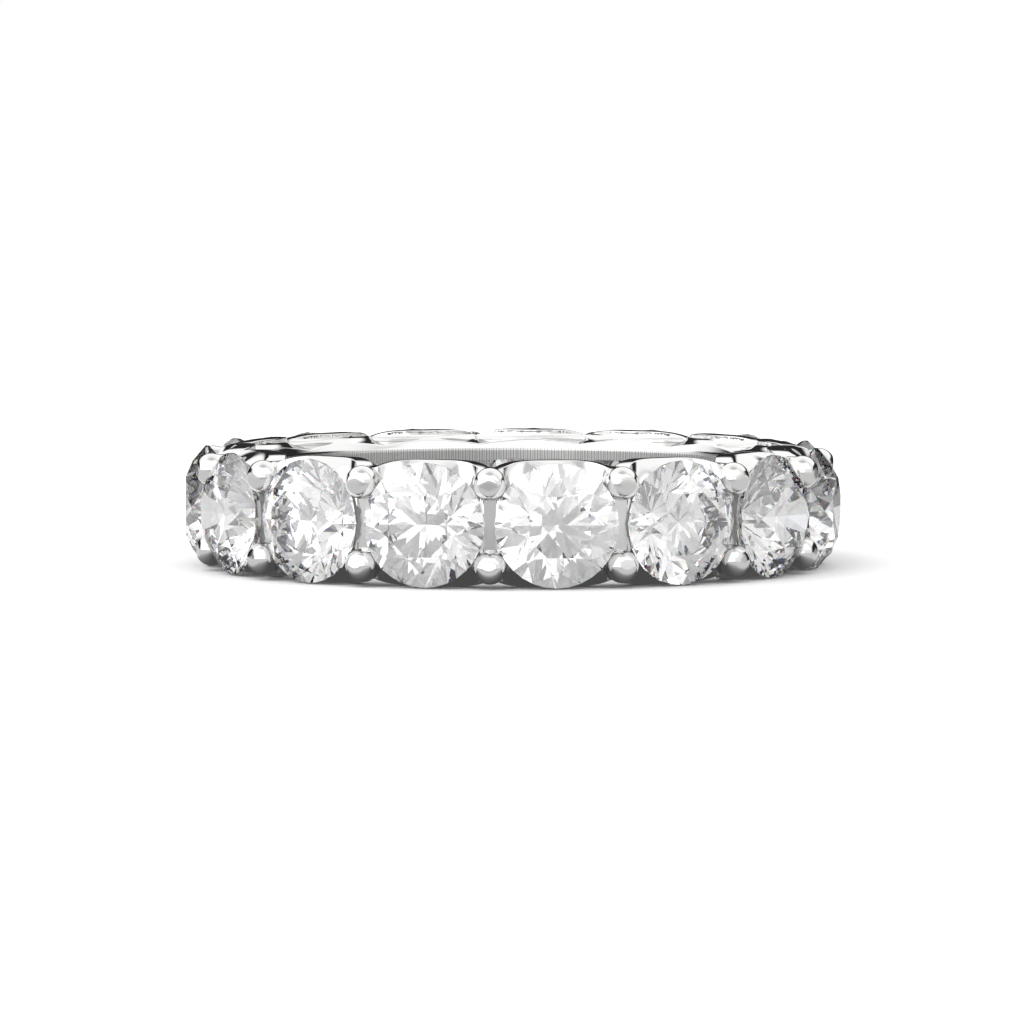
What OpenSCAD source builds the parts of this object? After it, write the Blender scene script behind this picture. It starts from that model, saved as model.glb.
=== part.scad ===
// Shared-prong eternity ring, a full circle of round brilliant stones.
// Millimetres. The ring's axis is Z and the origin is at the middle of the finger hole,
// so the ring lies on its side with a stone facing -Y. Every stone has the same cup of
// metal behind it, and each pair of neighbours shares two prongs, one above and one below.

/* [Finger hole] */
// Diameter of the finger hole
bore_d = 16.5; // [15:0.1:20]

/* [Stones] */
// Diameter of each stone at its girdle
stone_d = 4.0; // [3.4:0.05:4.6]
// Width of the table, corner to corner, in percent of the stone's diameter
table_pct = 53; // [50:1:60]
// Slope of the crown's main facets, from the girdle plane
crown_angle = 34.5; // [32:0.1:36]
// Slope of the pavilion's main facets, from the girdle plane
pavilion_angle = 40.8; // [40:0.1:42]
// Height of the girdle at its thick places
girdle_t = 0.12; // [0.08:0.01:0.16]
// How far the star facets reach from the table towards the girdle, in percent
star_pct = 50; // [45:1:55]
// How far the lower halves reach from the girdle towards the culet, in percent
lower_pct = 77; // [70:1:85]
// Least space between the girdles of two neighbours
stone_gap = 0.3; // [0.2:0.01:0.45]
// Height of each culet above the wall of the finger hole
culet_lift = 0.19; // [0.1:0.01:0.3]
// Clearance between a stone and the metal of its seat
seat_gap = 0.03; // [0.02:0.005:0.05]

/* [Cups] */
// How far each rim stands past the stones' edges, along the ring's axis
rim_over = 0.04; // [0.02:0.01:0.1]
// How far the crest of a rim lies outside the finger hole, at the middle of a cup
crest_set = 0.35; // [0.25:0.01:0.45]
// Radius of a cup's inner curve, seen along the ring's axis
lobe_r = 3.3; // [3.1:0.05:3.6]
// Radius of the arch that the top of a cup follows
arch_r = 10; // [8:0.5:14]
// Height of the upright face under the crest
wall_h = 0.21; // [0.15:0.01:0.25]
// Height of the cove between that face and the ledge
cove_h = 0.13; // [0.1:0.01:0.16]
// Width of the cove
cove_w = 0.17; // [0.12:0.01:0.22]
// Fall of the ledge towards the finger hole
ledge_h = 0.21; // [0.16:0.01:0.24]
// Width of the ledge, from the cove inwards
ledge_w = 0.93; // [0.85:0.01:1.05]
// Radius of a cup's round outside
cup_r = 3.1; // [3:0.05:3.4]
// How far a cup's lip stands out round its stone
lip_w = 0.05; // [0.03:0.01:0.08]
// Depth of the lip below the middle of the girdle
lip_drop = 0.22; // [0.18:0.01:0.28]
// Width of the narrow fill along the groove between two cups
fill_w = 0.16; // [0.1:0.02:0.24]
// Height of that fill over the bottom of the groove
fill_h = 0.02; // [0.01:0.005:0.04]

/* [Windows] */
// Height of the rail between a window and the crest
rail_h = 0.64; // [0.58:0.01:0.75]
// Width of the metal left between two windows, at the finger hole
web_w = 0.43; // [0.35:0.01:0.6]
// Radius of a window's corners
window_r = 0.45; // [0.3:0.01:0.6]
// Depth of the window below the middle of the girdle, where the seat takes over
window_drop = 0.47; // [0.4:0.01:0.6]
// How far the posts between windows stand back, so that only the rails touch the finger
relief_d = 0.04; // [0.02:0.01:0.08]

/* [Prongs] */
// Diameter of a prong's post
post_d = 1.0; // [0.9:0.02:1.1]
// Diameter of the bead at a prong's end
bead_d = 1.04; // [0.96:0.02:1.16]
// Diameter of the flat at a bead's tip
flat_d = 0.46; // [0.3:0.02:0.6]
// Height of a bead's flat above the middle of the girdle
prong_h = 0.53; // [0.45:0.01:0.6]
// How deep the seats are cut into each bead
grip = 0.03; // [0.02:0.005:0.06]
// Depth of a post's inner end below the middle of the girdle
post_drop = 0.92; // [0.8:0.02:1]

/* [Strips] */
// Width of the strip between two prongs of a pair
strip_w = 0.44; // [0.36:0.02:0.6]
// Depth of the strip's face below the middle of the girdle
strip_drop = 0.05; // [0.03:0.01:0.1]

/* [Hidden] */
past = 1; // how far a cutter runs past what it cuts
fine = 96; // sides that a curve is drawn with

mains = 8; // main facets round a stone, on its crown and again on its pavilion
main_step = 360 / mains;
main_half = main_step / 2;
girdle_parts = 4; // flats of the girdle from one main to the next
girdle_n = mains * girdle_parts;

bore_r = bore_d / 2;
stone_r = stone_d / 2;
pavilion_h = stone_r * tan(pavilion_angle);
girdle_at = bore_r + culet_lift + pavilion_h + girdle_t / 2;
stones = floor(180 / atan((stone_r + stone_gap / 2) / girdle_at));
pitch = 360 / stones;
front = -90;

table_r = stone_r * table_pct / 100;
table_h = girdle_t / 2 + (stone_r - table_r) * tan(crown_angle);
table_flat_r = table_r * cos(main_half);
star_r = table_flat_r + (stone_r - table_flat_r) * star_pct / 100;
star_h = girdle_t / 2 + (stone_r - star_r * cos(main_half)) * tan(crown_angle);
lower_r = stone_r * (1 - lower_pct / 100);
lower_h = girdle_t / 2 + (stone_r - lower_r * cos(main_half)) * tan(pavilion_angle);
culet_h = girdle_t / 2 + pavilion_h;

half_w = stone_r + rim_over;
crest_at = bore_r + crest_set;
lobe_at = crest_at + lobe_r;
wall_z = half_w - wall_h;
cove_z = wall_z - cove_h;
ledge_z = cove_z - ledge_h;
lip_at = girdle_at - lip_drop;
lip_r = stone_r + lip_w;
cup_at = lip_at - sqrt(cup_r * cup_r - lip_r * lip_r);
cup_cut = fill_w / 4;

window_w = 2 * bore_r * sin(pitch / 2) - web_w;
window_h = 2 * (half_w - rail_h);
window_end = girdle_at - window_drop;
relief_h = window_h - 2 * relief_d;

seat_r = stone_r + seat_gap;
post_at = girdle_at - post_drop;
post_r = post_d / 2;
bead_r = bead_d / 2;
tip_at = girdle_at + prong_h;
bead_at = tip_at - sqrt(bead_r * bead_r - flat_d * flat_d / 4);
prong_z = sqrt(pow(seat_r + bead_r - grip, 2) - pow(girdle_at * tan(pitch / 2), 2));

// A point at a distance r from the stone's own axis, at an angle a round it
function polar(r, a, h) = [r * cos(a), r * sin(a), h];

// Height at which the flat facet through three points passes over the point [x, y]
function on_plane(p, q, s, x, y) =
    let (c = cross(q - p, s - p))
    p[2] - (c[0] * (x - p[0]) + c[1] * (y - p[1])) / c[2];

// Edge of the girdle at step j. Its facet runs from a main's tip to the point between two mains,
// and from there on from the next main's tip back to that point.
function girdle_point(j, apex_r, apex_h, edge_h) =
    let (
        m = floor(j / girdle_parts),
        ahead = j % girdle_parts <= girdle_parts / 2,
        main = main_half + main_step * (ahead ? m : m + 1),
        between = main_step * (m + 1),
        apex = polar(apex_r, between, apex_h),
        tip = polar(stone_r, main, edge_h),
        meet = polar(stone_r, between, edge_h),
        at = polar(stone_r, main_half + j * main_step / girdle_parts, 0)
    )
    [at[0], at[1], on_plane(apex, tip, meet, at[0], at[1])];

// Round brilliant: 57 facets over a faceted girdle, its axis along Z, the girdle's middle at 0
module brilliant() {
    turns = [0:mains - 1];
    steps = [0:girdle_n - 1];
    table = [for (m = turns) polar(table_r, main_half + main_step * m, table_h)];
    stars = [for (m = turns) polar(star_r, main_step * (m + 1), star_h)];
    upper = [for (j = steps) girdle_point(j, star_r, star_h, girdle_t / 2)];
    lower = [for (j = steps) girdle_point(j, lower_r, -lower_h, -girdle_t / 2)];
    deeps = [for (m = turns) polar(lower_r, main_step * (m + 1), -lower_h)];
    culet = [[0, 0, -culet_h]];

    // Where each of these lists starts in the list of all points
    at_star = mains;
    at_upper = at_star + mains;
    at_lower = at_upper + girdle_n;
    at_deep = at_lower + girdle_n;
    at_culet = at_deep + mains;

    table_face = [[for (m = [mains - 1:-1:0]) m]];
    star_faces = [for (m = turns) [m, (m + 1) % mains, at_star + m]];
    bezels = [for (m = turns)
        [m, at_star + m, at_upper + m * girdle_parts, at_star + (m + mains - 1) % mains]];
    upper_halves = [for (j = steps)
        [at_star + floor(j / girdle_parts), at_upper + (j + 1) % girdle_n, at_upper + j]];
    girdle_flats = [for (j = steps)
        [at_upper + j, at_upper + (j + 1) % girdle_n, at_lower + (j + 1) % girdle_n, at_lower + j]];
    lower_halves = [for (j = steps)
        [at_deep + floor(j / girdle_parts), at_lower + j, at_lower + (j + 1) % girdle_n]];
    deep_mains = [for (m = turns)
        [at_culet, at_deep + (m + mains - 1) % mains, at_lower + m * girdle_parts, at_deep + m]];

    polyhedron(
        points = concat(table, stars, upper, lower, deeps, culet),
        faces = concat(table_face, star_faces, bezels, upper_halves, girdle_flats,
            lower_halves, deep_mains)
    );
}

// Turns a child to the middle of cup k, its X axis pointing out of the ring
module at_cup(k) rotate([0, 0, front + (k - 1) * pitch]) children();

// Turns a child to the junction after cup k
module at_joint(k) rotate([0, 0, front + (k - 0.5) * pitch]) children();

// Lays a child along X, its own Z axis pointing out of the ring
module outwards(x = 0, z = 0) translate([x, 0, z]) rotate([0, 90, 0]) children();

// Outline of a cup's inner wall, ledge and cove, revolved round an axis beside the stone
module lobe() {
    translate([lobe_at, 0, 0])
        rotate_extrude($fn = fine)
            polygon([
                [0, -half_w - past], [lobe_r, -half_w - past], [lobe_r, -wall_z],
                [lobe_r + cove_w, -cove_z], [lobe_r + cove_w + ledge_w, -ledge_z],
                [lobe_r + cove_w + ledge_w, ledge_z], [lobe_r + cove_w, cove_z],
                [lobe_r, wall_z], [lobe_r, half_w + past], [0, half_w + past]
            ]);
}

// One cup: arched above and below, lobed on the inside and round on the outside,
// and cut off just short of the junctions on its two sides
module cup() {
    from = cup_cut / sin(pitch / 2);
    reach = 2 * girdle_at;
    intersection() {
        lobe();
        translate([from, 0, -half_w - past])
            linear_extrude(2 * (half_w + past))
                polygon([
                    [0, 0], [reach, -reach * tan(pitch / 2)], [reach, reach * tan(pitch / 2)]
                ]);
        translate([crest_at, 0, half_w - arch_r]) rotate([0, 90, 0]) sphere(arch_r, $fn = fine);
        translate([crest_at, 0, arch_r - half_w]) rotate([0, -90, 0]) sphere(arch_r, $fn = fine);
        translate([cup_at, 0, 0]) rotate([90, 0, 180]) sphere(cup_r, $fn = fine);
        translate([0, -cup_r - past, -cup_r - past])
            cube([lip_at, 2 * (cup_r + past), 2 * (cup_r + past)]);
    }
}

// Distance from the ring's axis at which the groove between two lobes lies, for a lobe radius r
function groove_at(r) =
    lobe_at * cos(pitch / 2) - sqrt(r * r - pow(lobe_at * sin(pitch / 2), 2));

// Thin plate between two cups, which closes the groove from the finger hole to the posts
module fill() {
    top = [
        [groove_at(lobe_r + cove_w + ledge_w), ledge_z + fill_h],
        [groove_at(lobe_r + cove_w), cove_z + fill_h],
        [groove_at(lobe_r), wall_z + fill_h],
        [groove_at(lobe_r) + post_r / 2, prong_z + post_r / 2],
        [lip_at, prong_z - post_r / 2]
    ];
    rotate([90, 0, 0])
        linear_extrude(fill_w, center = true)
            polygon(concat(top, [for (i = [len(top) - 1:-1:0]) [top[i][0], -top[i][1]]]));
}

// Round post with a bead at its end, flat at the tip
module prong() {
    outwards(post_at) cylinder(r = post_r, h = bead_at - post_at, $fn = fine);
    intersection() {
        outwards(bead_at) sphere(bead_r, $fn = fine);
        translate([0, -bead_d, -bead_d]) cube([tip_at, 2 * bead_d, 2 * bead_d]);
    }
}

// Flat strip that joins the upper and the lower prong between two stones
module strip() {
    translate([post_at, -strip_w / 2, -prong_z])
        cube([girdle_at - strip_drop - post_at, strip_w, 2 * prong_z]);
}

// Open window behind a stone, a rectangle with round corners
module window() {
    flat_w = window_w - 2 * window_r;
    flat_h = window_h - 2 * window_r;
    outwards(bore_r - past)
        linear_extrude(window_end - bore_r + past) {
            square([flat_h, window_w], center = true);
            square([window_h, flat_w], center = true);
            for (x = [-1, 1], y = [-1, 1])
                translate([x * flat_h / 2, y * flat_w / 2]) circle(window_r, $fn = fine);
        }
}

// Seat for a stone: the outline that its facets sweep, with the clearance all round
module seat() {
    below = seat_gap / cos(pavilion_angle);
    above = seat_gap / cos(crown_angle);
    outwards(girdle_at)
        rotate_extrude($fn = fine)
            polygon([
                [0, -culet_h - below], [lower_r, -lower_h - below],
                [seat_r, -girdle_t / 2 - below], [seat_r, girdle_t / 2 + above],
                [star_r, star_h + above], [table_r, table_h + above],
                [table_r, table_h + past], [0, table_h + past]
            ]);
}

module band() {
    color("gainsboro")
        difference() {
            union() {
                for (k = [1:stones]) {
                    at_cup(k) cup();
                    at_joint(k) fill();
                    at_joint(k) strip();
                    at_joint(k) for (side = [-1, 1]) translate([0, 0, side * prong_z]) prong();
                }
            }
            cylinder(r = bore_r, h = 2 * (half_w + past), center = true, $fn = fine);
            cylinder(r = bore_r + relief_d, h = relief_h, center = true, $fn = fine);
            for (k = [1:stones]) {
                at_cup(k) window();
                at_cup(k) seat();
            }
        }
}

module stone(k) {
    color("aliceblue") at_cup(k) outwards(girdle_at) brilliant();
}

band();
for (k = [1:stones])
    stone(k);
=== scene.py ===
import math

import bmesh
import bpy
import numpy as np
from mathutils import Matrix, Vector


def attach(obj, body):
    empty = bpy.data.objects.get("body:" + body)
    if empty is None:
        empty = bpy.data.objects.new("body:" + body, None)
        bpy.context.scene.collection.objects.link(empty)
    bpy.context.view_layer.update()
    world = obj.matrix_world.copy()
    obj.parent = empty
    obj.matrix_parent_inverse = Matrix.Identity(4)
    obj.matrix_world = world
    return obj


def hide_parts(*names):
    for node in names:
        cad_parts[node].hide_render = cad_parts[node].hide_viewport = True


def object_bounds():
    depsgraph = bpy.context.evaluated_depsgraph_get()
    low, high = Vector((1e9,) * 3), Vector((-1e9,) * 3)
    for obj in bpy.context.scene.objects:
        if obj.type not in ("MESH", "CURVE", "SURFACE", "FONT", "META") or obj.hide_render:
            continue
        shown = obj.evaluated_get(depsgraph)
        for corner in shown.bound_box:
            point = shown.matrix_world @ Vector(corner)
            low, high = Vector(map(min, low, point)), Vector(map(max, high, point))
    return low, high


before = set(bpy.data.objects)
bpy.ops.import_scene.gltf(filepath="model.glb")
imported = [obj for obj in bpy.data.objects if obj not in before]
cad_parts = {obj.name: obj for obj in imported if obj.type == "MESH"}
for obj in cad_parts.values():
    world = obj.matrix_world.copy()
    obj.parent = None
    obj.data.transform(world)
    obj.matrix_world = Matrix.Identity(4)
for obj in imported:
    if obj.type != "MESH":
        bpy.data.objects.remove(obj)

# %% [markdown]
# ## The ring and its frame
# This notebook dresses a full eternity ring: 15 round brilliants in polished white metal, lying
# on its side on white paper. The stones come over from the CAD model as they are, because their
# flat facets are already exact. The metal is built again here with soft edges, because light on
# polished metal shows every edge. Everything is in metres, so `MM` turns millimetres into metres.

cad_low, cad_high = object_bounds()
MM = 0.001
print("CAD box in mm:", [round((b - a) / MM, 3) for a, b in zip(cad_low, cad_high)])

# %% [markdown]
# ## Adding an object
# An object in Blender is a place in the scene that shows some data, such as a mesh or a camera.
# Making it from code takes two steps, so they are kept together here.

# %% Small helpers for objects
def add_object(name, data):
    made = bpy.data.objects.new(name, data)
    bpy.context.scene.collection.objects.link(made)
    return made


# %% [markdown]
# ## The camera
# The photo looks at the ring from a little above, with a long lens. The direction and the
# distance were found from places that can be named in the photo, such as the beads and the far
# notches between cups. The camera looks at the ring's centre, and the shift moves the picture so
# that the centre falls where it does in the photo. Nothing is out of focus in the photo, so depth
# of field stays off.

# %% Camera
view_azimuth = math.radians(-7.91)
view_height = math.radians(3.92)
view_distance = 205.6 * MM
image_side = 1024
focal_px = 6133
ring_centre_px = (512.8, 504.26)
sensor_mm = 36

towards_camera = Vector((
    math.sin(view_azimuth) * math.cos(view_height),
    -math.cos(view_azimuth) * math.cos(view_height),
    math.sin(view_height),
))
camera_data = bpy.data.cameras.new("photo_camera")
camera_data.sensor_width = sensor_mm
camera_data.lens = sensor_mm * focal_px / image_side
camera_data.shift_x = (image_side / 2 - ring_centre_px[0]) / image_side
camera_data.shift_y = (ring_centre_px[1] - image_side / 2) / image_side
camera_data.dof.use_dof = False
camera_data.clip_start = 1 * MM
camera_data.clip_end = 100
camera = add_object("photo_camera", camera_data)
camera.location = towards_camera * view_distance
camera.rotation_mode = "QUATERNION"
camera.rotation_quaternion = (-towards_camera).to_track_quat("-Z", "Y")
bpy.context.scene.camera = camera
print("lens", round(camera_data.lens, 1), "mm at", round(view_distance / MM, 1), "mm")

# %% [markdown]
# ## How light is counted
# The photo's white is plain white, so the Standard view is used, which keeps it. Light in a
# brilliant bounces many times before it comes out, so more bounces are allowed than usual, and
# light that is bent or mirrored onto other things is kept as well.

# %% Picture settings
scene = bpy.context.scene
scene.view_settings.view_transform = "Standard"
scene.cycles.max_bounces = 24
scene.cycles.glossy_bounces = 20
scene.cycles.transmission_bounces = 20
scene.cycles.diffuse_bounces = 3
scene.cycles.caustics_reflective = True
scene.cycles.caustics_refractive = True
print("view:", scene.view_settings.view_transform, "bounces:", scene.cycles.max_bounces)

# %% [markdown]
# ## The white studio
# Polished metal looks like whatever stands round it. A product studio is a white tent with
# brighter sheets of light, and often a dark strip that draws crisp lines on the metal. Lamps
# could be used, but a world made of soft sheets is smooth and free of noise. Each sheet is given
# by how far round it lies from the camera, how wide and how high it reaches, and its strength.
# The directions come from the photo: which way a flat bead tip faces tells what it mirrors.

# %% White studio
# azimuth right of the camera, half width, softness, lowest and highest height, softness, amount
cards = [
    (-58, 38, 14, 2, 60, 8, 1.1),
    (0, 58, 20, 28, 62, 12, 0.55),
    (45, 45, 15, 5, 28, 6, 0.15),
    (-8, 18, 8, 0, 14, 3, 0.7),
    (0, 180, 1, 76, 95, 14, -0.2),
]
# a dark strip low behind the ring and a bright one above it, seen only in first reflections
dark_strip = (180, 75, 25, -3, 21, 8, -0.97)
bright_strip = (180, 80, 30, 32, 78, 10, 0.4)
# a ray that reaches the world after one reflection counts as 2 deep there
one_reflection = 2.5
later_loss, least_light = 0.12, 0.02
world = bpy.data.worlds.new("white_studio")
scene.world = world
world.use_nodes = True
tree = world.node_tree
tree.nodes.clear()
sky_out = tree.nodes.new("ShaderNodeOutputWorld")
sky = tree.nodes.new("ShaderNodeBackground")
tree.links.new(sky.outputs[0], sky_out.inputs[0])
place = tree.nodes.new("ShaderNodeTexCoord")
front = (math.sin(view_azimuth), -math.cos(view_azimuth), 0)
right = (math.cos(view_azimuth), math.sin(view_azimuth), 0)


def number(nodes_of, kind, *values):
    """One sum on numbers or on the outputs of other nodes."""
    made = nodes_of.nodes.new("ShaderNodeMath")
    made.operation = kind
    for socket, value in zip(made.inputs, values):
        if isinstance(value, (int, float)):
            socket.default_value = value
        else:
            nodes_of.links.new(value, socket)
    return made.outputs[0]


def along(nodes_of, point, axis):
    """How far a point or direction reaches along an axis."""
    made = nodes_of.nodes.new("ShaderNodeVectorMath")
    made.operation = "DOT_PRODUCT"
    nodes_of.links.new(point, made.inputs[0])
    made.inputs[1].default_value = axis
    return made.outputs["Value"]


def ramp(nodes_of, value, start, end, low=0, high=1):
    """Smooth step from low at start to high at end."""
    made = nodes_of.nodes.new("ShaderNodeMapRange")
    made.interpolation_type = "SMOOTHSTEP"
    for name, amount in (("From Min", start), ("From Max", end), ("To Min", low), ("To Max", high)):
        made.inputs[name].default_value = amount
    nodes_of.links.new(value, made.inputs["Value"])
    return made.outputs["Result"]


ray = place.outputs["Generated"]
to_front, to_right, to_top = (along(tree, ray, axis) for axis in (front, right, (0, 0, 1)))
turn = number(tree, "DEGREES", number(tree, "ARCTAN2", to_right, to_front))
rise = number(tree, "DEGREES", number(tree, "ARCSINE", to_top))


def card(azimuth, wide, soft, low, high, fade, amount):
    """A soft sheet of light: how far round it reaches, from what height to what height."""
    aside = number(tree, "WRAP", number(tree, "SUBTRACT", turn, azimuth), 180, -180)
    away = number(tree, "ABSOLUTE", aside)
    across = ramp(tree, away, wide + soft, wide)
    bottom = ramp(tree, rise, low - fade, low)
    top = ramp(tree, rise, high + fade, high)
    return number(tree, "MULTIPLY", number(tree, "MULTIPLY", across, bottom),
                  number(tree, "MULTIPLY", top, amount))


light = 1.0
for sheet in cards:
    light = number(tree, "ADD", light, card(*sheet))
path = tree.nodes.new("ShaderNodeLightPath")
first = number(tree, "LESS_THAN", path.outputs["Ray Depth"], one_reflection)
first = number(tree, "MULTIPLY", path.outputs["Is Glossy Ray"], first)
for strip in (dark_strip, bright_strip):
    light = number(tree, "ADD", light, number(tree, "MULTIPLY", card(*strip), first))
# light that has turned more than once comes back a little weaker, as it does in the photo
later = number(tree, "GREATER_THAN", path.outputs["Ray Depth"], one_reflection)
later = number(tree, "MULTIPLY", later, path.outputs["Is Glossy Ray"])
later = number(tree, "MULTIPLY", later, later_loss)
light = number(tree, "MULTIPLY", light, number(tree, "SUBTRACT", 1, later))
tree.links.new(number(tree, "MAXIMUM", light, least_light), sky.inputs["Strength"])
sky.inputs["Color"].default_value = (1, 1, 1, 1)
print("sheets of light:", len(cards))

# %% [markdown]
# ## White paper under the ring
# The ring lies on white paper that runs out of sight. It is a stage piece: it isn't part of the
# ring. Ordinary light treats it as matt white paper, so the ring throws a soft shadow on it.
# Mirrored in the metal it is a glow of painted light and shade instead: dark close to the ring,
# where little light reaches, light a little further out, and a painted pale grey further off in front.

# %% Floor
floor_size, paper_white = 3, 0.95
# the painted glow of the paper in the metal: millimetres from the ring's axis and tones there
shade_outside = (10.2, 12.5, 0.1, 0.85)
light_inside = (8.6, 8.0, 0, 0.85)
lighter_far_off = (28, 42, 0.95, 1.08)
painted_grey_in_front = (17, 26, 0, 0.2)
painted_dark_behind, painted_dark_from = 0.97, (14, 30)
grey_middle, grey_sides, behind_sides = -8, (45, 15), (100, 150)
floor_mesh = bpy.data.meshes.new("floor")
floor_mesh.from_pydata(
    [(x * floor_size, y * floor_size, 0) for x, y in ((-1, -1), (1, -1), (1, 1), (-1, 1))],
    [], [(0, 1, 2, 3)],
)
floor = add_object("floor", floor_mesh)
floor.location.z = cad_low.z
paper = bpy.data.materials.new("white_paper")
paper.use_nodes = True
tree = paper.node_tree
tree.nodes.clear()
paper_out = tree.nodes.new("ShaderNodeOutputMaterial")
seen = tree.nodes.new("ShaderNodeBsdfDiffuse")
seen.inputs["Color"].default_value = (paper_white, paper_white, paper_white, 1)
# in reflections the paper is an emission: a glow whose strength is painted light and shade
mirrored = tree.nodes.new("ShaderNodeEmission")
spot = tree.nodes.new("ShaderNodeNewGeometry").outputs["Position"]
far = number(tree, "DIVIDE", number(tree, "SQRT", number(tree, "ADD",
    number(tree, "POWER", along(tree, spot, (1, 0, 0)), 2),
    number(tree, "POWER", along(tree, spot, (0, 1, 0)), 2))), MM)
azimuth = number(tree, "ARCTAN2", along(tree, spot, right), along(tree, spot, front))
azimuth = number(tree, "DEGREES", azimuth)
off_middle = number(tree, "ABSOLUTE", number(tree, "SUBTRACT", azimuth, grey_middle))
# painted shade: the glow is dark under the band and just outside it, lighter inside the ring and further out
shade = number(tree, "MAXIMUM", ramp(tree, far, *shade_outside), ramp(tree, far, *light_inside))
# a painted grey patch on the glow, further off in front of the ring
grey = number(tree, "MULTIPLY", ramp(tree, off_middle, *grey_sides), ramp(tree, far, *painted_grey_in_front))
tone = number(tree, "MULTIPLY", shade, ramp(tree, far, *lighter_far_off))
tone = number(tree, "SUBTRACT", tone, grey)
# painted dark reflection: behind the ring the paper's glow is nearly black, but only where the metal mirrors
# it at once
kind = tree.nodes.new("ShaderNodeLightPath")
behind = number(tree, "MULTIPLY", ramp(tree, off_middle, *behind_sides), ramp(tree, far, *painted_dark_from))
behind = number(tree, "MULTIPLY", behind, number(tree, "LESS_THAN", kind.outputs["Ray Depth"], 1.5))
behind = number(tree, "MULTIPLY", behind, painted_dark_behind)
tone = number(tree, "MULTIPLY", tone, number(tree, "SUBTRACT", 1, behind))
tree.links.new(tone, mirrored.inputs["Strength"])
choose = tree.nodes.new("ShaderNodeMixShader")
tree.links.new(kind.outputs["Is Glossy Ray"], choose.inputs["Fac"])
tree.links.new(seen.outputs[0], choose.inputs[1])
tree.links.new(mirrored.outputs[0], choose.inputs[2])
tree.links.new(choose.outputs[0], paper_out.inputs["Surface"])
floor_mesh.materials.append(paper)
print("floor at", round(cad_low.z / MM, 3), "mm")

# %% [markdown]
# ## Measures
# Most of these are the CAD model's measures, in millimetres. Some are finer, for looks: the crest
# of each cup's rim, the crease outside it, the bevel at the edge of the finger hole, and the
# beads' flat tips, which lean a little towards the middle. The windows are lower than in the CAD
# model, because the photo shows the wall of the finger hole closed further down.

# %% Measures of the ring
bore_r, stone_r, girdle_t = 8.25, 2.0, 0.12
crown_angle, pavilion_angle = math.radians(34.5), math.radians(40.8)
culet_lift, stones = 0.19, 15
girdle_at = bore_r + culet_lift + stone_r * math.tan(pavilion_angle) + girdle_t / 2
half = math.pi / stones
half_w, crest_at, lobe_r, arch = 2.04, 8.6, 3.3, 0.017
peak_at, top_r = crest_at + 0.4, 4.0
lobe_at = crest_at + lobe_r
wall_h, cove_h, cove_w = 0.21, 0.13, 0.17
wall_z = half_w - wall_h
cove_z = wall_z - cove_h
ledge_h, ledge_w = 0.21, 0.93
# the lens-shaped top: how far outside the crest it starts, how that grows, and where it ends
lens_off, lens_2, lens_4 = 0.6, 0.07, 0.05
lens_end, lens_sink, lens_half_w = 1.6, 0.42, 1.68
lip_at, lip_r, cup_r = girdle_at - 0.3, 2.55, 3.4
cup_at = lip_at - math.sqrt(cup_r**2 - lip_r**2)
bevel_z, bevel_w, bevel_h = 1.4, 0.15, 0.29
web_w, window_h = 0.43, 2.0
window_w = 2 * bore_r * math.sin(half) - web_w
window_r, window_end = 0.45, girdle_at - 0.47
relief_d = 0.04
seat_gap = 0.03
seat_r = stone_r + seat_gap
post_at, post_r = girdle_at - 0.92, 0.5
bead_r, flat_r, flat_tilt, tip_at = 0.54, 0.25, math.radians(3.7), girdle_at + 0.53
bead_at = tip_at - math.sqrt(bead_r**2 - flat_r**2)
bead_bite = 0.022
prong_z = math.sqrt((seat_r + bead_r - bead_bite) ** 2 - (girdle_at * math.tan(half)) ** 2)
strip_w, strip_at = 0.44, girdle_at - 0.05
table_r, lower_r = stone_r * 0.53, stone_r * 0.23
lower_h = girdle_t / 2 + (stone_r - lower_r * math.cos(math.pi / 8)) * math.tan(pavilion_angle)
culet_h = girdle_t / 2 + stone_r * math.tan(pavilion_angle)

print("girdle", round(girdle_at, 3), "mm from the axis, beads", round(prong_z, 3), "mm up and down")

# %% [markdown]
# ## Joining and cutting as a caster sees it
# Cast metal has no sharp corners: inner corners are filled a little and outer edges are rounded
# by polishing. Blender can bevel edges, but bevels fail where many surfaces meet. Here the metal
# is described by its distance instead: each function tells how far a point is from the surface,
# below zero inside the metal. Two such distances can be joined or cut with a round edge.

# %% Ways to join and cut metal
def join(a, b, fillet):
    """Two lots of metal as one, with a fillet in the corner between them."""
    near = np.hypot(np.maximum(fillet - a, 0), np.maximum(fillet - b, 0))
    return np.maximum(fillet, np.minimum(a, b)) - near


def keep(a, b, edge):
    """Only the metal that lies in both, its edge rounded over."""
    near = np.hypot(np.maximum(edge + a, 0), np.maximum(edge + b, 0))
    return np.minimum(-edge, np.maximum(a, b)) + near


def above(u, v, start, end):
    """Distance above the line from start to end."""
    du, dv = end[0] - start[0], end[1] - start[1]
    return ((v - start[1]) * du - (u - start[0]) * dv) / math.hypot(du, dv)

print("round edge at a square corner:", round(float(keep(np.array(0.0), np.array(0.0), edge=0.04)), 4), "mm")

# %% [markdown]
# ## One cup
# Each stone sits in a cup. Seen from the side of the ring, the cup's rim is a lobe: a crest that
# stands highest in the middle, a narrow top that falls outwards, and a crease below which the
# rim dives to the stone. Towards the finger hole the crest drops through a cove to a ledge.
# The seat is the hollow for the stone, and the window is the opening at the stone's back.

# %% One cup
def top_height(x, y):
    """The rim stands highest in the cup's middle and sinks towards its ends and outwards."""
    return half_w - arch * y**4 - (x - peak_at) ** 2 / (2 * top_r)


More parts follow.
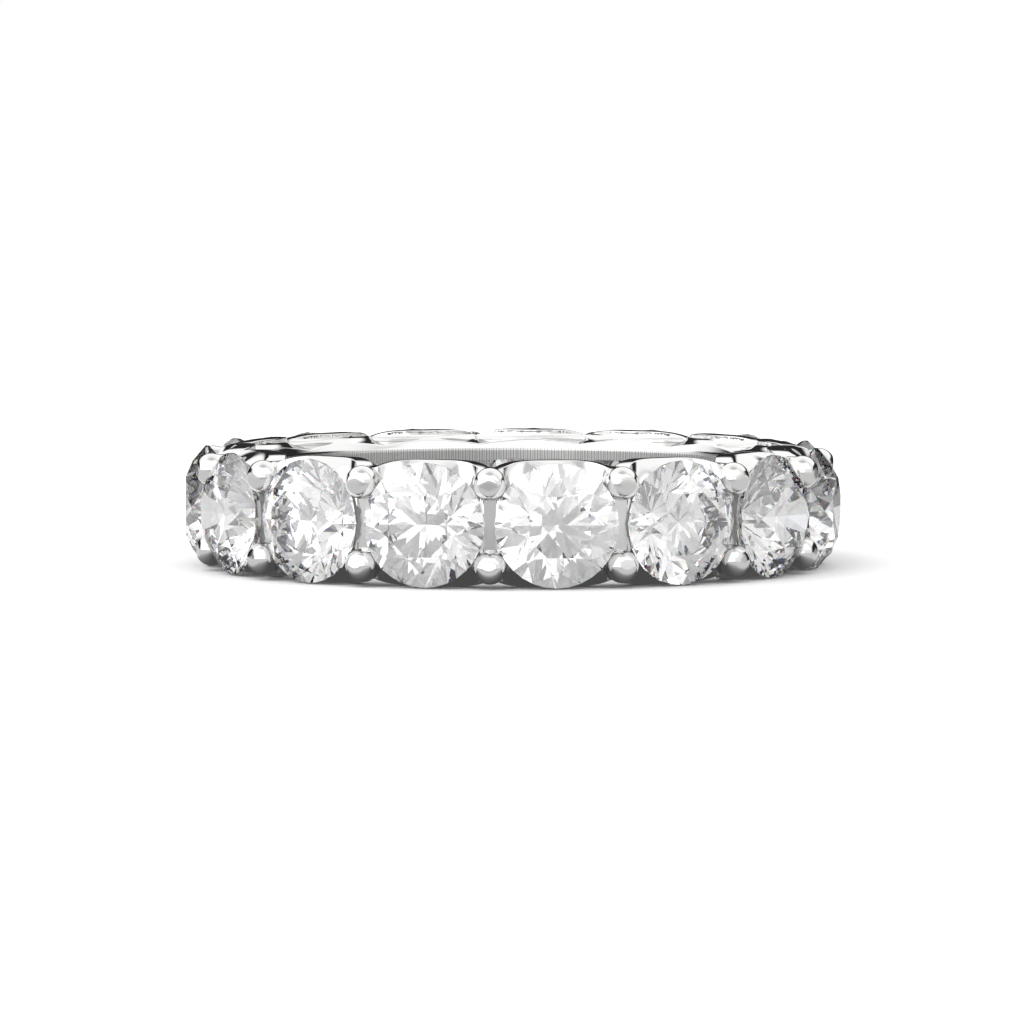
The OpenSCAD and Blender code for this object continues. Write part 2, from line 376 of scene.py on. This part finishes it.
def cup(x, y, z):
    """One cup's metal: a lens-shaped top, a round outside, and the cove and ledge inside."""
    out = np.hypot(x - lobe_at, y)
    cove = above(out, z, (lobe_r, wall_z), (lobe_r + cove_w, cove_z))
    ledge = above(out, z, (lobe_r + cove_w, cove_z), (lobe_r + cove_w + ledge_w, cove_z - ledge_h))
    inner = join(join(cove, ledge, fillet=0.05), out - lobe_r, fillet=0.04)
    fall_x, fall_y = (x - peak_at) / top_r, 4 * arch * np.abs(y) ** 3
    top = (z - top_height(x, y)) / np.sqrt(1 + fall_x**2 + fall_y**2)
    wide = np.minimum(np.abs(y), lens_half_w)
    start = crest_at + lens_off + lens_2 * wide**2 + lens_4 * wide**4
    start_z = top_height(start, wide)
    end_z = lens_end - lens_sink * wide**2
    fall = (start_z - end_z) / np.maximum(lip_at - start, 0.05)
    lens = (z - start_z + fall * (x - start)) / np.sqrt(1 + fall**2)
    bowl = np.sqrt((x - cup_at) ** 2 + y**2 + z**2) - cup_r
    rim = keep(keep(top, lens, edge=0.02), bowl, edge=0.03)
    rim = keep(rim, x - lip_at, edge=0.02)
    return keep(rim, inner, edge=0.03)


def seat(x, y, z):
    """The hollow for a stone, which is the stone's own outline with a little room round it."""
    r, h = np.hypot(y, z), x - girdle_at
    below, over = seat_gap / math.cos(pavilion_angle), seat_gap / math.cos(crown_angle)
    tip = -above(r, h, (0, -culet_h - below), (lower_r, -lower_h - below))
    cone = -above(r, h, (lower_r, -lower_h - below), (seat_r, -girdle_t / 2 - below))
    table_h = girdle_t / 2 + (stone_r - table_r) * math.tan(crown_angle)
    crown = above(r, h, (table_r, table_h + over), (seat_r, girdle_t / 2 + over))
    return np.maximum(np.maximum(r - seat_r, crown), np.maximum(tip, cone))


def window(x, y, z):
    """The opening behind a stone, a square with rounded corners as seen from the finger hole."""
    across = np.abs(y) - (window_w / 2 - window_r)
    up = np.abs(z) - (window_h / 2 - window_r)
    corner = np.hypot(np.maximum(across, 0), np.maximum(up, 0))
    return np.maximum(corner + np.minimum(np.maximum(across, up), 0) - window_r, x - window_end)

print("rim at a cup's middle:", round(top_height(peak_at, 0), 3), "mm up")

# %% [markdown]
# ## All the metal
# Neighbouring cups are joined, and the prong posts and the flat strips between the stones are
# added. The finger hole, its bevelled edge, the windows and the seats are cut out, and then the
# beads are set on, each touching two stones from the outside. The ring repeats every 24 degrees
# and is the same mirrored, so all of it follows from half a cup.

# %% The band's metal
def band_metal(x, y, z):
    """Distance to the band's surface, in the half sector beside a cup's middle."""
    c, s = math.cos(2 * half), math.sin(2 * half)
    x2, y2 = c * x + s * y, s * x - c * y
    u, t = math.cos(half) * x + math.sin(half) * y, math.cos(half) * y - math.sin(half) * x
    cups = join(cup(x, y, z), cup(x2, y2, z), fillet=0.015)
    ball = np.sqrt((u - bead_at) ** 2 + t**2 + (z - prong_z) ** 2) - bead_r
    flat = (u - tip_at) * math.cos(flat_tilt) - (z - prong_z) * math.sin(flat_tilt)
    ball = keep(ball, flat, edge=0.05)
    post = np.hypot(t, z - prong_z) - post_r
    post = np.maximum(post, np.maximum(u - bead_at, post_at - u))
    strip = keep(np.abs(t) - strip_w / 2, u - strip_at, edge=0.03)
    strip = np.maximum(strip, np.maximum(post_at - u, z - prong_z))
    metal = join(join(cups, post, fillet=0.03), strip, fillet=0.02)
    hole = bore_r - np.hypot(x, y)
    relief = np.minimum(hole + relief_d, window_h / 2 - relief_d - np.abs(z))
    metal = np.maximum(keep(metal, hole, edge=0.04), relief)
    bevel = above(np.hypot(x, y), z, (bore_r, bevel_z), (bore_r + bevel_w, bevel_z + bevel_h))
    metal = keep(metal, bevel, edge=0.04)
    for px, py in ((x, y), (x2, y2)):
        metal = keep(metal, -window(px, py, z), edge=0.04)
        metal = keep(metal, -seat(px, py, z), edge=0.012)
    return join(metal, ball, fillet=0.02)


def folded(x, y, z):
    """The same distance anywhere: every point is turned or mirrored into the first half sector."""
    r = np.hypot(x, y)
    a = np.arctan2(y, x)
    a = np.abs((a + half) % (2 * half) - half)
    return band_metal(r * np.cos(a), r * np.sin(a), np.abs(z))


def slope(p, reach=0.002):
    """How the distance grows at each point, which is the way the surface faces."""
    x, y, z = p.T
    return np.stack([
        folded(x + reach, y, z) - folded(x - reach, y, z),
        folded(x, y + reach, z) - folded(x, y - reach, z),
        folded(x, y, z + reach) - folded(x, y, z - reach),
    ], -1) / (2 * reach)

print("the girdle's edge lies", round(float(folded(girdle_at, 0.0, stone_r)), 3), "mm from metal")

# %% [markdown]
# ## A skin over the metal
# The distance becomes a mesh in the way known as surface nets: a fine grid is laid over half a
# cup, every grid cell that the surface passes through gets one point, and neighbouring cells are
# joined by faces. Blender has a remesher that does much the same, but doing it here lets the
# points be slid onto the exact surface and kept on the mirror planes.

# %% Skin over half a cup
def half_cup_skin(step):
    xs = np.arange(bore_r * math.cos(half) - 2 * step, tip_at + 2 * step, step)
    rows = math.ceil(tip_at * math.tan(half) / step)
    ss = (np.arange(-1, rows + 1) + 0.5) / rows
    zs = (np.arange(-1, math.ceil(half_w / step) + 2) + 0.5) * step
    gx, gs, gz = np.meshgrid(xs, ss, zs, indexing="ij")
    value = folded(gx, gs * gx * math.tan(half), gz)
    solid = value < 0
    shape = np.array(value.shape)
    corners = np.array([(i, j, k) for i in (0, 1) for j in (0, 1) for k in (0, 1)])
    count = np.zeros(shape - 1, int)
    for c in corners:
        count += solid[tuple(slice(c[a], shape[a] - 1 + c[a]) for a in range(3))]
    cells = np.argwhere((count > 0) & (count < 8))
    cell_number = np.full(shape - 1, -1)
    cell_number[tuple(cells.T)] = np.arange(len(cells))

    total, met = np.zeros((len(cells), 3)), np.zeros(len(cells))
    for c in corners:
        for axis in range(3):
            if c[axis]:
                continue
            a = cells + c
            b = a.copy()
            b[:, axis] += 1
            va, vb = value[tuple(a.T)], value[tuple(b.T)]
            cross = (va < 0) != (vb < 0)
            at = a.astype(float)
            at[:, axis] += np.where(cross, va / np.where(cross, va - vb, 1), 0)
            total += at * cross[:, None]
            met += cross
    grid = total / met[:, None]
    x = xs[0] + grid[:, 0] * step
    s = ss[0] + grid[:, 1] / rows
    points = np.stack([x, s * x * math.tan(half), zs[0] + grid[:, 2] * step], -1)

    faces = []
    for axis in range(3):
        lower = tuple(slice(0, shape[a] - (a == axis)) for a in range(3))
        upper = tuple(slice(a == axis, None) for a in range(3))
        edges = np.argwhere(solid[lower] != solid[upper])
        b, c = [a for a in range(3) if a != axis]
        ok = (edges[:, b] > 0) & (edges[:, c] > 0)
        ok &= (edges[:, b] < shape[b] - 1) & (edges[:, c] < shape[c] - 1)
        if axis != 1:
            ok &= (edges[:, 1] >= 1) & (edges[:, 1] <= shape[1] - 2)
        if axis != 2:
            ok &= edges[:, 2] >= 1
        edges = edges[ok]
        ring = []
        for db, dc in ((0, 0), (-1, 0), (-1, -1), (0, -1)):
            at = edges.copy()
            at[:, b] += db
            at[:, c] += dc
            ring.append(cell_number[tuple(at.T)])
        ring = np.stack(ring, -1)
        outwards = solid[tuple(edges.T)] != (axis == 1)
        ring[~outwards] = ring[~outwards][:, ::-1]
        faces.append(ring)
    return points, np.concatenate(faces)


def to_planes(p, near):
    """Moves points that lie near a mirror plane onto it."""
    off = math.cos(half) * p[:, 1] - math.sin(half) * p[:, 0]
    at_joint = np.abs(off) < near
    p[at_joint, 0] += math.sin(half) * off[at_joint]
    p[at_joint, 1] -= math.cos(half) * off[at_joint]
    p[np.abs(p[:, 1]) < near, 1] = 0
    p[np.abs(p[:, 2]) < near, 2] = 0
    return p


skin_step, on_plane = 0.025, 1e-4
points, quads = half_cup_skin(skin_step)
points = to_planes(points, on_plane)


def onto_surface(p, most, near):
    """Slides points along the slope until they lie on the metal's surface."""
    least_slope = 0.25
    for _ in range(3):
        g = slope(p)
        move = folded(*p.T)[:, None] * g / np.maximum((g**2).sum(-1), least_slope)[:, None]
        size = np.linalg.norm(move, axis=-1, keepdims=True)
        p = to_planes(p - move * np.minimum(1, most / np.maximum(size, 1e-9)), near)
    return p


points = onto_surface(points, 0.4 * skin_step, on_plane)
print("skin over half a cup:", len(points), "points,", len(quads), "faces")

# %% [markdown]
# ## Fewer triangles
# Flat parts need few triangles and edges need many. Blender's Decimate modifier takes away the
# points that matter least, and the rest are slid back onto the surface. Border points stay on the
# mirror planes, so that the copies meet, and triangles that lie in such a plane are dropped.

# %% Thinned out
triangles_wanted = 3250
border_reach, slide_most = 0.02, 0.01


def thinned(points, faces, wanted):
    mesh = bpy.data.meshes.new("half_cup")
    mesh.from_pydata(points.tolist(), [], faces.tolist())
    made = add_object("half_cup", mesh)
    less = made.modifiers.new("less", "DECIMATE")
    less.ratio = wanted / (2 * len(faces))
    less.use_collapse_triangulate = True
    shown = made.evaluated_get(bpy.context.evaluated_depsgraph_get()).to_mesh()
    p = np.array([v.co for v in shown.vertices])
    t = np.array([f.vertices[:] for f in shown.polygons])
    bpy.data.objects.remove(made)
    return p, t


p, t = thinned(points, quads, triangles_wanted)
pairs = np.sort(np.concatenate([t[:, [0, 1]], t[:, [1, 2]], t[:, [2, 0]]]), axis=1)
pairs, uses = np.unique(pairs, axis=0, return_counts=True)
border = np.unique(pairs[uses == 1])
before = p[border].copy()
p[border] = to_planes(p[border].copy(), border_reach)
print("thinned:", len(p), "points,", len(t), "triangles")
print("border moved by", round(float(np.abs(p[border] - before).max()), 4), "mm at most")

p = onto_surface(p, slide_most, on_plane)
off = math.cos(half) * p[:, 1] - math.sin(half) * p[:, 0]
on_middle, on_joint, on_level = p[:, 1] == 0, np.abs(off) < 1e-6, p[:, 2] == 0
for plane in (on_middle, on_joint, on_level):
    t = t[~plane[t].all(1)]

# %% [markdown]
# ## Smooth and flat at once
# A polished surface is judged by its reflections, and those follow the direction that each
# corner of a triangle claims to face. Blender's own smoothing would average over edges and make
# flat strips look bent. So every corner asks the distance function which way the metal faces
# just inside its own triangle, and only shares its neighbours' direction where they agree.

# %% Which way each corner faces
def unit_length(v):
    return v / np.maximum(np.linalg.norm(v, axis=-1, keepdims=True), 1e-9)


smooth_within, flat_within = math.cos(math.radians(5)), math.cos(math.radians(1))
inwards = 0.3
corners = p[t]
inner = corners + inwards * (corners.mean(1, keepdims=True) - corners)
beside = unit_length(slope(inner.reshape(-1, 3))).reshape(-1, 3, 3)
at_point = unit_length(slope(p))[t]
facing = np.where((beside * at_point).sum(-1, keepdims=True) > smooth_within, at_point, beside)
flat = (beside * np.roll(beside, 1, axis=1)).sum(-1).min(1) > flat_within
facing[flat] = beside[flat]
print("flat triangles:", int(flat.sum()), "of", len(t))

# %% [markdown]
# ## Sixty half cups
# Half a cup is mirrored across, mirrored down and turned to all 15 places. An Array modifier could
# do the turning, but each copy needs its own corner directions, and the points where copies meet
# are numbered once so that the ring is one closed skin.

# %% All round
def shared_number(k, side, up):
    """A number for each point of a copy, the same for the copies that meet in it."""
    cup_of = np.where(on_joint & (side == 1), (k - 1) % stones, k)
    side_of = np.where(on_middle | on_joint, 0, side)
    up_of = np.where(on_level, 0, up)
    return ((cup_of * 2 + side_of) * 2 + up_of) * len(p) + np.arange(len(p))


def turned(v, k, side, up):
    """Half a cup's points or normals, mirrored and turned to their place in the ring."""
    angle = -math.pi / 2 + k * 2 * half
    c, s = math.cos(angle), math.sin(angle)
    v = v * (1, 1 - 2 * side, 1 - 2 * up)
    return np.stack([c * v[..., 0] - s * v[..., 1], s * v[..., 0] + c * v[..., 1], v[..., 2]], -1)


all_numbers, all_points, all_faces, all_facing = [], [], [], []
for k in range(stones):
    for side in (0, 1):
        for up in (0, 1):
            order = [0, 1, 2] if side == up else [2, 1, 0]
            numbers = shared_number(k, side, up)
            all_numbers.append(numbers)
            all_points.append(turned(p, k, side, up))
            all_faces.append(numbers[t][:, order])
            all_facing.append(turned(facing, k, side, up)[:, order])
numbers, one_of_each = np.unique(np.concatenate(all_numbers), return_index=True)
ring_points = np.concatenate(all_points)[one_of_each]
ring_faces = np.searchsorted(numbers, np.concatenate(all_faces))
band_mesh = bpy.data.meshes.new("band_cast")
band_mesh.from_pydata(ring_points.tolist(), [], ring_faces.tolist())
band_mesh.polygons.foreach_set("use_smooth", [True] * len(band_mesh.polygons))
band_mesh.normals_split_custom_set(np.concatenate(all_facing).reshape(-1, 3).tolist())
bm = bmesh.new()
bm.from_mesh(band_mesh)
open_edges = sum(len(e.link_faces) != 2 for e in bm.edges)
bm.free()
print("band:", len(ring_points), "points,", len(ring_faces), "triangles")
print("edges not in two faces:", open_edges)
band_mesh.transform(Matrix.Scale(MM, 4))
band = add_object("band_cast", band_mesh)

# %% [markdown]
# ## Polished white metal
# The real metal is a white alloy, polished to a mirror and a little grey. Inside the finger hole
# the wall is less glossy, and it is painted darker in fine upright stripes, a painted reflection.
# One metal shader does both: its roughness and its tone depend on where on the ring a point lies,
# and faint noise keeps the polish from being perfectly even.

# %% White metal
metal_colour = (0.68, 0.68, 0.675)
# painted reflection on the wall: darker upright stripes in two sets, so many in the whole circle, that beat
# together
fine_lines, other_lines, other_share = 615, 433, 0.7
painted_stripe_tones, wall_rough = (-0.3, -0.04), 0.28
polish_scale, polish_rough = 900, (0.02, 0.045)
wall_soft = 0.03
metal = bpy.data.materials.new("polished_white_metal")
metal.use_nodes = True
shader = metal.node_tree.nodes["Principled BSDF"]
shader.inputs["Metallic"].default_value = 1
tree = metal.node_tree
body = tree.nodes.new("ShaderNodeTexCoord").outputs["Object"]
to_x, to_y, height = (along(tree, body, axis) for axis in ((1, 0, 0), (0, 1, 0), (0, 0, 1)))
radius = number(tree, "DIVIDE", number(tree, "SQRT", number(tree, "ADD",
    number(tree, "POWER", to_x, 2), number(tree, "POWER", to_y, 2))), MM)
near_wall = ramp(tree, radius, bore_r + 2 * wall_soft, bore_r + wall_soft)
from_middle = number(tree, "DIVIDE", number(tree, "ABSOLUTE", height), MM)
wall = number(tree, "MULTIPLY", near_wall, ramp(tree, from_middle, bevel_z + 0.02, bevel_z))
turn = number(tree, "ARCTAN2", to_x, to_y)
lines = number(tree, "SINE", number(tree, "MULTIPLY", turn, fine_lines))
uneven = number(tree, "SINE", number(tree, "MULTIPLY", turn, other_lines))
lines = number(tree, "ADD", lines, number(tree, "MULTIPLY", uneven, other_share))
# painted reflection: the wall's colour is darkened in upright stripes
lines = number(tree, "MULTIPLY", ramp(tree, lines, -0.8, 0.8, *painted_stripe_tones), wall)
polish = tree.nodes.new("ShaderNodeTexNoise")
polish.inputs["Scale"].default_value = polish_scale
tree.links.new(body, polish.inputs["Vector"])
rough = ramp(tree, polish.outputs["Fac"], 0.35, 0.65, *polish_rough)
rough = number(tree, "ADD", rough, number(tree, "MULTIPLY", wall, wall_rough))
tree.links.new(rough, shader.inputs["Roughness"])
tint = tree.nodes.new("ShaderNodeCombineColor")
for side, amount in zip(tint.inputs, metal_colour):
    tree.links.new(number(tree, "ADD", lines, amount), side)
tree.links.new(tint.outputs[0], shader.inputs["Base Color"])
band_mesh.materials.append(metal)
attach(band, "root")
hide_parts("band")
print("metal on", band.name)

# %% [markdown]
# ## Diamond
# Diamond bends light strongly and spreads its colours. Three glasses for red, green and blue at
# every bounce would show this but make much noise. So most of the light goes through one clear
# glass, and only a small share, called fire here, is split into three as it enters. Each of the
# three gets a third of that share at three times the strength, so no light is lost. Inside the
# stone a slightly grey glass stands for the light that a real stone swallows. Beads and cups also
# mirror the stones beside them. Those images are smooth and pale in the photo, and sharp facets
# there would look like scratches, so a stone seen in the metal is mostly plain and pale.

# %% Diamond
diamond = bpy.data.materials.new("brilliant_stone")
diamond.use_nodes = True
nodes, links = diamond.node_tree.nodes, diamond.node_tree.links
nodes.clear()
out = nodes.new("ShaderNodeOutputMaterial")


def glass(colour, index):
    made = nodes.new("ShaderNodeBsdfGlass")
    made.inputs["Color"].default_value = colour
    made.inputs["IOR"].default_value = index
    made.inputs["Roughness"].default_value = 0
    return made.outputs[0]


def blended(share, one, other):
    """Two shaders as one, with this share of the other: a plain number or a node's output."""
    made = nodes.new("ShaderNodeMixShader")
    if isinstance(share, (int, float)):
        made.inputs["Fac"].default_value = share
    else:
        links.new(share, made.inputs["Fac"])
    links.new(one, made.inputs[1])
    links.new(other, made.inputs[2])
    return made.outputs[0]


fire, clear_index, swallowed = 0.15, 2.42, 0.09
red, green, blue = glass((3, 0, 0, 1), 2.38), glass((0, 3, 0, 1), 2.42), glass((0, 0, 3, 1), 2.48)
spread = blended(1 / 3, blended(1 / 2, red, green), blue)
entering = blended(fire, glass((1, 1, 1, 1), clear_index), spread)
inside = glass((1 - swallowed, 1 - swallowed, 1 - swallowed, 1), clear_index)
side = nodes.new("ShaderNodeNewGeometry")
gem = blended(side.outputs["Backfacing"], entering, inside)
# a glossy ray that has not been through a stone yet comes off the metal or off another stone
pale_grey, pale_share = 0.86, 0.75
path = nodes.new("ShaderNodeLightPath")
not_through = number(diamond.node_tree, "LESS_THAN", path.outputs["Transmission Depth"], 0.5)
from_metal = number(diamond.node_tree, "MULTIPLY", path.outputs["Is Glossy Ray"], not_through)
pale = nodes.new("ShaderNodeBsdfDiffuse")
pale.inputs["Color"].default_value = (pale_grey, pale_grey, pale_grey, 1)
seen_in_metal = number(diamond.node_tree, "MULTIPLY", from_metal, pale_share)
links.new(blended(seen_in_metal, gem, pale.outputs[0]), out.inputs["Surface"])
for k in range(1, stones + 1):
    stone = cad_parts[f"stone_{k}"]
    stone.data.materials.clear()
    stone.data.materials.append(diamond)
print("diamond on", stones, "stones")
